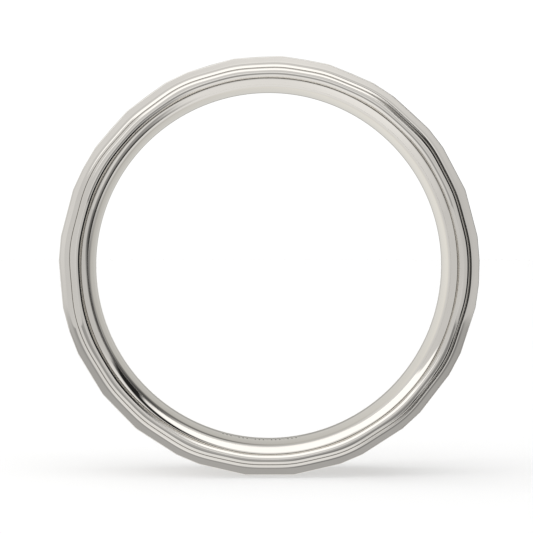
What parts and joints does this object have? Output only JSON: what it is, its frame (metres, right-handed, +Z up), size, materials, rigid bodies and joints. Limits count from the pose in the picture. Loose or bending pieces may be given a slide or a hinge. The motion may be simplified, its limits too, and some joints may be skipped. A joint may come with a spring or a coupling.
{
  "type": "wedding band",
  "caption": "Comfort-fit wedding band in polished white metal: a domed bore, a proud centre band with irregular flat facets, and a rounded rail along each edge.",
  "frame": {"origin": "centre of the finger hole, midway between the two rails", "axes": "Y is the finger axis and the front rail is at -Y; +Z is up as the band stands on the flat at the bottom of its faceted centre band; X is to the right seen from the front"},
  "size_m": [0.0236, 0.006, 0.0235],
  "materials": {
    "polished_white_gold": "mirror-polished white gold, slightly warm, with faint polishing lines round the finger axis",
    "faceted_white_gold": "bright-cut white gold facets with softened ridges between them",
    "solder_seam": "hard solder, left unpolished in the corner between the pieces"
  },
  "bodies": {
    "root": {"comfort_fit_sleeve": "polished_white_gold", "faceted_centre_band": "faceted_white_gold", "front_edge_rail": "polished_white_gold", "rear_edge_rail": "polished_white_gold", "front_solder_ring": "solder_seam", "rear_solder_ring": "solder_seam"}
  },
  "joints": []
}
